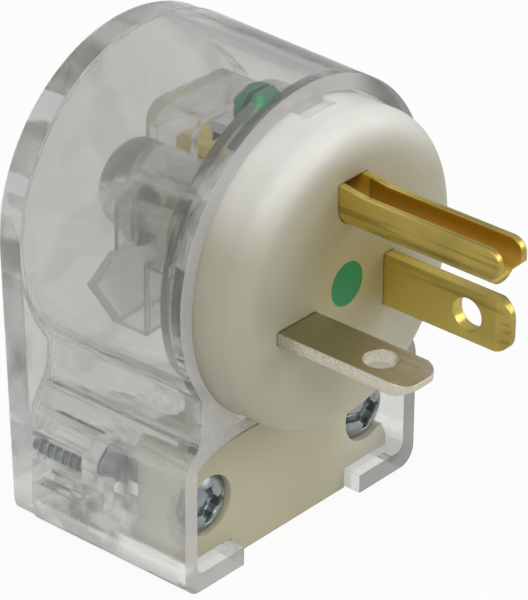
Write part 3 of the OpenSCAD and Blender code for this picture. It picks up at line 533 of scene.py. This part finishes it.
def clear_housing_plastic():
    """Clear polycarbonate: faint flow lines, streaks along the shoulders, a matt front on the rim
    and slightly milky edges. The extra milkiness along the edges is a painted highlight, and the
    streaks carry painted glints. The matt front takes painted shade on its right and lower part and
    at its base. The flange, the rim and the wall beside the lower block let part of the light
    straight through, as thick clear ends do in daylight. The outer band of the flange and the foot
    of the wall carry painted dark and bright patches: painted refractions, shadows and glints. The
    wall is painted darker towards its base."""
    plastic = looks().plastic
    shader = Shader("clear_housing_plastic")
    x, y, z = shader.place()
    flange_front = FACE_Y + plastic.flange_depth
    rim_back = FACE_Y + plastic.rim_depth
    flow = shader.bump(shader.noise(*FLOW), FLOW_RELIEF, shader.soft_edges(SOFT_EDGE))
    flange = y.smooth(flange_front - SOFT_EDGE, flange_front)
    wall = 1 - flange
    shoulder = z.smooth(*SHOULDER_FOOT) * z.smooth(*SHOULDER_TOP) * wall
    streaks = shader.noise(*STREAKS) * shoulder
    waves = shader.bump(shader.noise(*WAVES), WAVE_RELIEF, flow)
    normal = shader.bump(streaks, STREAK_RELIEF, waves)
    rim = y.smooth(rim_back, rim_back - SOFT_EDGE)
    patches = shader.marks(*CLEAR_PATCHES)
    beside_block = z.smooth(*BLOCK_TOP) * z.smooth(*BLOCK_FOOT) * y.smooth(*BLOCK_BACK)
    straight = (flange * (FLANGE_LEAST + (1 - FLANGE_LEAST) * patches)
                * plastic.flange_clearness).most(
        rim * (RIM_LEAST + (1 - RIM_LEAST) * patches) * plastic.rim_clearness).most(
        beside_block * plastic.block_clearness)
    shader.principled(
        Base_Color=plastic.clear_tint, Roughness=0.03, IOR=plastic.clear_ior,
        Transmission_Weight=1.0, Alpha=1 - straight, Normal=normal)
    on_lip = y.below(LIP_Y + ON_FACE)
    # Painted shade on the front of the lip: its right and lower part, and its base
    dim = (x.smooth(*DIM_SIDE) * z.smooth(*DIM_TOP)).most(
        x.smooth(*DIM_RIGHT)).most(z.smooth(*DIM_BASE) * DIM_BASE_SHARE)
    # Painted highlight: more milkiness along the moulded edges, for the light that they catch
    haze = plastic.haze + shader.edges(GLINT_HAZE_EDGE) * plastic.edge_glint_haze * (1 - on_lip)
    hazy = shader.mix(haze, shader.surface.outputs[0], milk(shader, plastic.haze_colour))
    outer = (x ** 2 + (z - ROUND_Z).most(0.0) ** 2) ** 0.5
    band = flange * outer.above(HALF_WIDTH - BAND_WIDTH)
    foot = z.smooth(*FOOT_TOP) * y.smooth(*FOOT_FRONT) * wall
    base = z.smooth(*BASE_TOP) * (1 - on_lip)
    # Painted dark refractions on the flange's band, painted shadows at the foot, and painted shade
    # towards the base of the wall
    painted_dark = (band * shader.marks(*DARK_REFRACTION_PATCHES) * DARK_REFRACTION_BAND + base * SHADE_BASE
            + foot * shader.marks(*FOOT_SHADOWS) * SHADE_FOOT)
    hazy = shader.mix(painted_dark, hazy, milk(shader, plastic.shadow_colour))
    # Painted highlights: glints on the flange's band, along the shoulder streaks and at the foot
    painted_glints = (band * shader.marks(*GLINT_PATCHES) * GLINT_BAND
              + shoulder * streaks.smooth(*STREAK_GLINTS) * GLINT_SHOULDER
              + foot * shader.marks(*FOOT_GLINTS) * GLINT_FOOT)
    hazy = shader.mix(painted_glints, hazy, milk(shader, plastic.glint_colour))
    matt = shader.mix(dim, milk(shader, plastic.lip_colour), milk(shader, plastic.dim_colour))
    shader.put(shader.end.inputs["Surface"], shader.mix(on_lip * plastic.lip_haze, hazy, matt))
    return shader


def inner_clear_plastic():
    """The same plastic inside: small ripples and milky edges, with a share of the light that goes
    straight through, and more of it at the edges. The milkier edges are a painted highlight, for
    the light that moulded edges catch"""
    plastic = looks().plastic
    shader = Shader("clear_inner_plastic")
    ripples = shader.bump(shader.noise(*RIPPLES), RIPPLE_RELIEF, shader.soft_edges(SOFT_EDGE))
    edge = shader.edges(SOFT_EDGE)
    shader.principled(
        Base_Color=plastic.clear_tint, Roughness=0.04, IOR=plastic.inner_ior,
        Transmission_Weight=1.0, Normal=ripples,
        Alpha=1 - (plastic.inner_clearness + edge * plastic.inner_edge_clearness))
    # Painted highlight: more milkiness along the edges of the inner parts
    haze = plastic.inner_haze + edge * plastic.inner_edge_glint_haze
    shader.put(shader.end.inputs["Surface"],
               shader.mix(haze, shader.surface.outputs[0], milk(shader, plastic.inner_colour)))
    return shader


def white_nylon():
    """Milky nylon with the printed dot on its face. Its colour carries painted shade on the lower
    block and painted light round the contacts, on the upper edge, on the block's side and behind
    the clear wall
    """
    plastic = looks().plastic
    shader = Shader("white_nylon")
    x, y, z = shader.place()
    cloud = shader.noise(*NYLON_CLOUD)
    # Painted shade: below the round face the nylon takes the block's warmer, shaded colour
    height = z.smooth(*FACE_RISE)
    # Painted light: a warm patch round the contacts, for the brass light that shows through the
    # nylon
    from_contacts = ((x - BRASS_LIGHT_X) ** 2 + (z - (BLADE_Z + BRASS_LIGHT_RISE)) ** 2) ** 0.5
    painted_brass_light = from_contacts.smooth(*BRASS_LIGHT_SPOT)
    face = shader.blend(painted_brass_light, plastic.painted_brass_light_colour, plastic.front_colour)
    # Painted light: the upper edge of the round face is lighter
    from_middle = (x ** 2 + (z - ROUND_Z) ** 2) ** 0.5
    painted_light_top = from_middle.smooth(*LIGHT_TOP_RING) * z.smooth(*LIGHT_TOP_RISE)
    face = shader.blend(painted_light_top, face, plastic.painted_light_colour)
    # Painted light: the right side of the block is lighter
    painted_light_side = x.smooth(*LIGHT_SIDE) * LIGHT_SIDE_SHARE
    block = shader.blend(painted_light_side, plastic.painted_shade_block_colour, plastic.painted_light_colour)
    ground = shader.blend(height, block, face)
    # Painted light: the nylon behind the clear wall is lighter
    ground = shader.blend(y.smooth(*HIDDEN_DEPTH), ground, plastic.painted_light_behind_wall)
    shade = shader.blend(cloud * NYLON_CLOUD_SHARE, ground,
                         [c * NYLON_CLOUD_DARK for c in plastic.front_colour])
    away = ((x - plastic.dot_x) ** 2 + (z - (BLADE_Z + plastic.dot_rise)) ** 2) ** 0.5
    dot = away.smooth(plastic.dot_radius + DOT_EDGE, plastic.dot_radius - DOT_EDGE)
    on_face = y.below(FACE_Y + ON_FACE)
    shader.principled(
        Base_Color=shader.blend(dot * on_face, shade, plastic.dot_colour),
        Roughness=NYLON_ROUGHNESS + NYLON_ROUGHNESS_SPREAD * cloud, IOR=1.5,
        Subsurface_Weight=0.35, Subsurface_Radius=(1.0, 0.9, 0.7), Subsurface_Scale=1.5 * MM,
        Normal=shader.bump(cloud, NYLON_RELIEF, shader.soft_edges(NYLON_EDGE)))
    return shader


def stamped_metal(name, colour, deep, root, roughness,
                  edge_round=None, flank=None, channel=False):
    """Stamped and plated metal with fine marks along its length and darker clouds. It turns to
    the root colour towards the face, which is painted light on brass and painted shade on nickel,
    and lighter patches of painted highlight run along its edges. It turns to the flank colour, in
    specks, on the narrow sides. With channel, what lies between the walls of the folded ground pin
    takes the warmer colour that the walls cast on each other, as painted light."""
    metal = looks().metal
    shader = Shader(name)
    marks = shader.noise(*ROLL_MARKS)
    scratches = shader.marks(*SCRATCHES)
    x, y, z = shader.place()
    sheen = shader.blend(shader.marks(*METAL_CLOUD), colour, deep)
    # Painted light and shade: the colour turns to the root colour towards the face
    sheen = shader.blend(y.smooth(*ROOT_REACH), sheen, root)
    sheen = shader.blend(scratches * SCRATCH_SHARE, sheen, [c * SCRATCH_DARK for c in deep])
    # Painted highlights: lighter patches along the edges
    painted_edge_glints = shader.edges(SOFT_EDGE) * shader.marks(*EDGE_GLINTS)
    sheen = shader.blend(painted_edge_glints * EDGE_GLINTS_SHARE, sheen, [min(1, c * EDGE_GLINTS_LIGHT) for c in colour])
    if flank is not None:
        facing = shader.node("ShaderNodeNewGeometry").outputs["Normal"]
        parts = shader.node("ShaderNodeSeparateXYZ", inputs={0: facing})
        sideways = (Field(shader, parts.outputs[2]) ** 2).below(FLANK_TILT)
        amount = SPECK_LEAST + (1 - SPECK_LEAST) * shader.marks(*SPECKS)
        sheen = shader.blend(sideways * amount, sheen, flank)
    metallic = 1.0
    if channel:
        inside = (x * x).below((metal.channel_width / 2) ** 2) * z.above(CHANNEL_FLOOR)
        walls = shader.blend(z.smooth(*CHANNEL_RISE), metal.channel_floor, metal.channel_colour)
        sheen = shader.blend(inside, sheen, walls)
        # Painted light: the channel looks less metallic, and so lighter, for the light that its
        # walls cast on each other
        metallic = 1 - inside * (
            CHANNEL_LIGHTEN + CHANNEL_ROOT_LIGHTEN * y.above(FACE_Y - CHANNEL_ROOT))
    shader.principled(
        Base_Color=sheen, Metallic=metallic, Roughness=roughness + MARK_ROUGHNESS * marks,
        Normal=shader.bump(marks, MARK_RELIEF, shader.soft_edges(edge_round or metal.edge_round)))
    return shader


def plain_metal(name, colour, finish):
    """Stamped metal that keeps its colour up to the root"""
    cloud_share, roughness = finish
    return stamped_metal(name, colour, [c * cloud_share for c in colour], colour, roughness)


def add_piece(name, points, faces, material, slot, *replaced):
    """Makes a mesh object from arrays of points and faces, and lets it ride on the plug"""
    mesh = bpy.data.meshes.new(name)
    mesh.from_pydata(points, [], faces)
    mesh.materials.append(material)
    mesh.shade_smooth()
    piece = bpy.data.objects.new(name, mesh)
    bpy.context.scene.collection.objects.link(piece)
    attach(piece, "root")
    if replaced:
        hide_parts(*replaced)
    return piece


def ring_faces(rows, steps):
    """Quads between neighbouring rings of a closed tube: rows rings of steps points each"""
    row, step = np.meshgrid(np.arange(rows - 1), np.arange(steps), indexing="ij")
    here = row * steps + step
    after = row * steps + (step + 1) % steps
    return np.stack([here, after, after + steps, here + steps], -1).reshape(-1, 4)


def smooth_step(value, low, high):
    """3t^2 - 2t^3, with t going from 0 at low to 1 at high"""
    t = np.clip((value - low) / (high - low), 0, 1)
    return t * t * (3 - 2 * t)


def screw_rings(radius, length, screw):
    """Radius and depth of each ring of a screw's shank, from its tip to its head. The radius is
    core + (radius - core) * ridge, where ridge rises and falls once in each pitch and turns once
    round the axis."""
    steps = screw.ring_steps
    turn = np.arange(steps) / steps
    core = radius * screw.core_share
    threaded = length * screw.thread_share
    depth = np.linspace(length, 0, int(length / screw.pitch * RINGS_PER_TURN))
    phase = np.mod(depth[:, None] / screw.pitch - turn[None, :], 1)
    ridge = smooth_step(np.abs(phase - 0.5), *RIDGE)
    start = length - threaded
    fade = smooth_step(depth, start - screw.pitch, start + screw.pitch)
    point = smooth_step(depth, length, length - screw.pitch)
    shank = core + (radius - core) * ridge * fade[:, None]
    shank = shank * (POINT_RADIUS + (1 - POINT_RADIUS) * point[:, None])
    return shank, np.repeat(depth[:, None], steps, 1)


def case_screw(name, node, material, screw):
    """A pan-head screw with a real thread and a combination drive, in place of a plain CAD screw.
    Head surface: height = rim + dome * (1 - (r / R)^TOP_POWER), less the slot depth inside the
    drive, which is a slot across the head, a shorter one square to it and a round pit."""
    low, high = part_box(node)
    middle = (low + high) / 2
    head_r = (high.x - low.x) / 2
    head_t = screw.head_height
    bearing = low.y + head_t
    length = high.y - bearing
    steps = screw.ring_steps
    turn = np.arange(steps) / steps * TAU
    shank, depth = screw_rings(head_r / 2, length, screw)
    across = np.concatenate([np.linspace(1, 0, TOP_RINGS)[:-1] ** TOP_SPACING, [TOP_HOLE]]) * head_r
    dome = (head_t * RIM_HEIGHT
            + head_t * (1 - RIM_HEIGHT) * (1 - (across / head_r) ** TOP_POWER))
    radii = np.concatenate([
        shank, np.full((1, steps), head_r * CORNER_RADIUS), np.full((1, steps), head_r),
        np.repeat(across[:, None], steps, 1)])
    heights = np.concatenate([
        -depth, np.zeros((1, steps)), np.full((1, steps), head_t * CORNER_HEIGHT),
        np.repeat(dome[:, None], steps, 1)])
    x = radii * np.cos(turn)[None, :]
    z = radii * np.sin(turn)[None, :]
    soft = DRIVE_EDGE
    half = screw.slot_width / 2
    slot = smooth_step(np.abs(z), half + soft, half - soft) * smooth_step(
        np.abs(x), *(head_r * share for share in SLOT_END))
    reach = head_r * CROSS_LENGTH
    cross = smooth_step(np.abs(x), half + soft, half - soft) * smooth_step(
        np.abs(z), reach + soft, reach - soft)
    pit_r = head_r * PIT_RADIUS
    pit = smooth_step(np.hypot(x, z), pit_r + soft, pit_r - soft)
    drive = np.maximum.reduce([slot, cross, pit])
    on_top = heights > head_t * DRIVE_HEIGHT
    heights = heights - np.where(on_top, drive * screw.slot_depth, 0)
    points = np.stack([middle.x + x, bearing - heights, middle.z + z], -1).reshape(-1, 3)
    rows = radii.shape[0]
    faces = ring_faces(rows, steps)
    caps = [list(range(steps))[::-1], list(range((rows - 1) * steps, rows * steps))]
    return add_piece(name, points.tolist(), faces[:, ::-1].tolist() + [c[::-1] for c in caps],
                     material, "zinc_steel", node)


class PLUG_OT_clear_parts(bpy.types.Operator):
    """Finish the clear housing, the carrier and the cord jaw"""
    bl_idname = "plug.clear_parts"
    bl_label = "Clear parts"

    def execute(self, context):
        wear(["clear_housing"], clear_housing_plastic())
        wear(INNER_CLEAR_PARTS, inner_clear_plastic())
        return {"FINISHED"}


class PLUG_OT_white_front(bpy.types.Operator):
    """Finish the white front and print its dot"""
    bl_idname = "plug.white_front"
    bl_label = "White front"

    def execute(self, context):
        wear(["front_insert"], white_nylon())
        return {"FINISHED"}


class PLUG_OT_contacts(bpy.types.Operator):
    """Finish the blades, the ground pin and their terminals"""
    bl_idname = "plug.contacts"
    bl_label = "Contacts"

    def execute(self, context):
        metal = looks().metal
        cloud_share, roughness = BRASS_FINISH
        brass = (metal.brass_colour, [c * cloud_share for c in metal.brass_colour],
                 metal.brass_root_light, roughness)
        wear(BRASS_PARTS, stamped_metal("brass", *brass))
        wear(["ground_pin"], stamped_metal(
            "pin_brass", *brass, edge_round=metal.pin_round, channel=True))
        cloud_share, roughness = NICKEL_FINISH
        wear(NICKEL_PARTS, stamped_metal(
            "nickel", metal.nickel_colour, [c * cloud_share for c in metal.nickel_colour],
            metal.nickel_root_shade, roughness, flank=metal.nickel_flank))
        return {"FINISHED"}


class PLUG_OT_screws(bpy.types.Operator):
    """Make the two case screws and finish the other screws and plates"""
    bl_idname = "plug.screws"
    bl_label = "Screws"

    def execute(self, context):
        metal = looks().metal
        zinc = plain_metal("zinc", metal.zinc_colour, ZINC_FINISH)
        green = plain_metal("green", metal.green_colour, GREEN_FINISH)
        # Painted light: a lighter copy of the zinc for the parts inside the clear plastic
        painted_light_zinc = plain_metal("painted_light_zinc", metal.painted_light_zinc_colour, PAINTED_LIGHT_ZINC_FINISH)
        wear(STEEL_PARTS, painted_light_zinc)
        wear(["ground_screw"], green)
        for side in ("left", "right"):
            case_screw(f"{side}_pan_screw", f"{side}_case_screw", zinc.material, looks().screws)
        return {"FINISHED"}


def view_axes(studio):
    """Right, up and back directions of the camera: back = (sin a cos e, -cos a cos e, sin e)"""
    a, e, roll = studio.azimuth, studio.elevation, studio.roll
    back = Vector((math.sin(a) * math.cos(e), -math.cos(a) * math.cos(e), math.sin(e)))
    right = Vector((0, 0, 1)).cross(back).normalized()
    up = back.cross(right)
    turned_right = right * math.cos(roll) + up * math.sin(roll)
    turned_up = up * math.cos(roll) - right * math.sin(roll)
    return back, right, up, turned_right, turned_up


def add_camera(studio):
    back, right, up, turned_right, turned_up = view_axes(studio)
    aim = Vector((0, FACE_Y, BLADE_Z))
    place = aim + back * studio.distance - right * studio.shift_right - up * studio.shift_up
    data = bpy.data.cameras.new("photo_camera")
    data.sensor_fit = "HORIZONTAL"
    data.sensor_width = SENSOR_WIDTH
    data.lens = studio.lens
    data.clip_start = NEAREST * MM
    camera = bpy.data.objects.new("photo_camera", data)
    turn = Matrix((turned_right, turned_up, back)).transposed()
    camera.matrix_world = Matrix.Translation(place) @ turn.to_4x4()
    bpy.context.scene.collection.objects.link(camera)
    bpy.context.scene.camera = camera


def add_light(name, place, size, power):
    """A square soft light that points at the middle of the plug"""
    data = bpy.data.lights.new(name, "AREA")
    data.shape = "SQUARE"
    data.size = size
    data.energy = power
    light = bpy.data.objects.new(name, data)
    target = Vector((0, 0, BLADE_Z))
    light.location = place
    light.rotation_euler = (target - Vector(place)).to_track_quat("-Z", "Y").to_euler()
    bpy.context.scene.collection.objects.link(light)


def add_floor(studio):
    """A wide pale floor that looks white to the camera and keeps a soft shadow"""
    mesh = bpy.data.meshes.new("studio_floor")
    corners = [(-1, -1, 0), (1, -1, 0), (1, 1, 0), (-1, 1, 0)]
    mesh.from_pydata([[FLOOR_REACH * c for c in corner] for corner in corners],
                     [], [(0, 1, 2, 3)])
    floor = bpy.data.objects.new("studio_floor", mesh)
    shader = Shader("studio_floor")
    shader.principled(Base_Color=FLOOR_COLOUR, Roughness=0.9)
    path = shader.node("ShaderNodeLightPath")
    seen = Field(shader, path.outputs["Is Camera Ray"])
    through = Field(shader, path.outputs["Is Transmission Ray"])
    mirrored = Field(shader, path.outputs["Is Glossy Ray"])
    shown = [studio.floor_level * c for c in FLOOR_GLOW]
    glow = shader.node("ShaderNodeEmission", inputs={"Color": shader.blend(seen, shown, (1, 1, 1))})
    shader.put(shader.end.inputs["Surface"],
               shader.mix(seen.most(through).most(mirrored) * GLOW_SHARE,
                          shader.surface.outputs[0], glow.outputs[0]))
    mesh.materials.append(shader.material)
    bpy.context.scene.collection.objects.link(floor)


def light_sky(level):
    """Even light from all round, white where the camera sees it and greyer near the horizon"""
    world = bpy.data.worlds.new("studio_sky")
    bpy.context.scene.world = world
    world.use_nodes = True
    tree = world.node_tree
    back = tree.nodes["Background"]
    where = tree.nodes.new("ShaderNodeTexCoord")
    parts = tree.nodes.new("ShaderNodeSeparateXYZ")
    tree.links.new(where.outputs["Generated"], parts.inputs[0])
    ramp = tree.nodes.new("ShaderNodeValToRGB")
    ramp.color_ramp.elements[0].position = 0.0
    ramp.color_ramp.elements[0].color = (*HORIZON, 1)
    ramp.color_ramp.elements[1].position = 0.5
    ramp.color_ramp.elements[1].color = (1, 1, 1, 1)
    tree.links.new(parts.outputs["Z"], ramp.inputs[0])
    path = tree.nodes.new("ShaderNodeLightPath")
    mix = tree.nodes.new("ShaderNodeMix")
    mix.data_type = "RGBA"
    tree.links.new(path.outputs["Is Camera Ray"], mix.inputs[0])
    tree.links.new(ramp.outputs[0], mix.inputs[6])
    mix.inputs[7].default_value = (1 / level, 1 / level, 1 / level, 1)
    tree.links.new(mix.outputs[2], back.inputs["Color"])
    back.inputs["Strength"].default_value = level


class PLUG_OT_studio(bpy.types.Operator):
    """Set up the camera, the floor and the light"""
    bl_idname = "plug.studio"
    bl_label = "Studio"

    def execute(self, context):
        studio = looks().studio
        context.scene.view_settings.view_transform = "Standard"
        add_camera(studio)
        add_floor(studio)
        light_sky(studio.sky_level)
        add_light("key", KEY_PLACE, KEY_SIZE, studio.key_power)
        add_light("fill", FILL_PLACE, FILL_SIZE, studio.fill_power)
        return {"FINISHED"}


class PlugLooks(bpy.types.PropertyGroup):
    """All settings of the plug"""
    plastic: PointerProperty(type=PlasticLooks)
    metal: PointerProperty(type=MetalLooks)
    screws: PointerProperty(type=ScrewLooks)
    studio: PointerProperty(type=StudioLooks)


OPERATORS = (PLUG_OT_clear_parts, PLUG_OT_white_front, PLUG_OT_contacts, PLUG_OT_screws,
             PLUG_OT_studio)


class PLUG_PT_panel(bpy.types.Panel):
    """Lists the steps that dress the plug"""
    bl_idname = "PLUG_PT_panel"
    bl_label = "Plug"
    bl_space_type = "VIEW_3D"
    bl_region_type = "UI"
    bl_category = "Plug"

    def draw(self, context):
        for operator in OPERATORS:
            self.layout.operator(operator.bl_idname)
        for group in (looks().plastic, looks().metal, looks().screws, looks().studio):
            for key in group.__annotations__:
                self.layout.prop(group, key)


CLASSES = (PlasticLooks, MetalLooks, ScrewLooks, StudioLooks, PlugLooks, *OPERATORS, PLUG_PT_panel)


def register():
    for item in CLASSES:
        bpy.utils.register_class(item)
    bpy.types.Scene.plug_looks = PointerProperty(type=PlugLooks)


def unregister():
    del bpy.types.Scene.plug_looks
    for item in reversed(CLASSES):
        bpy.utils.unregister_class(item)


def main():
    register()
    bpy.ops.plug.clear_parts()
    bpy.ops.plug.white_front()
    bpy.ops.plug.contacts()
    bpy.ops.plug.screws()
    bpy.ops.plug.studio()


if __name__ == "__main__":
    main()
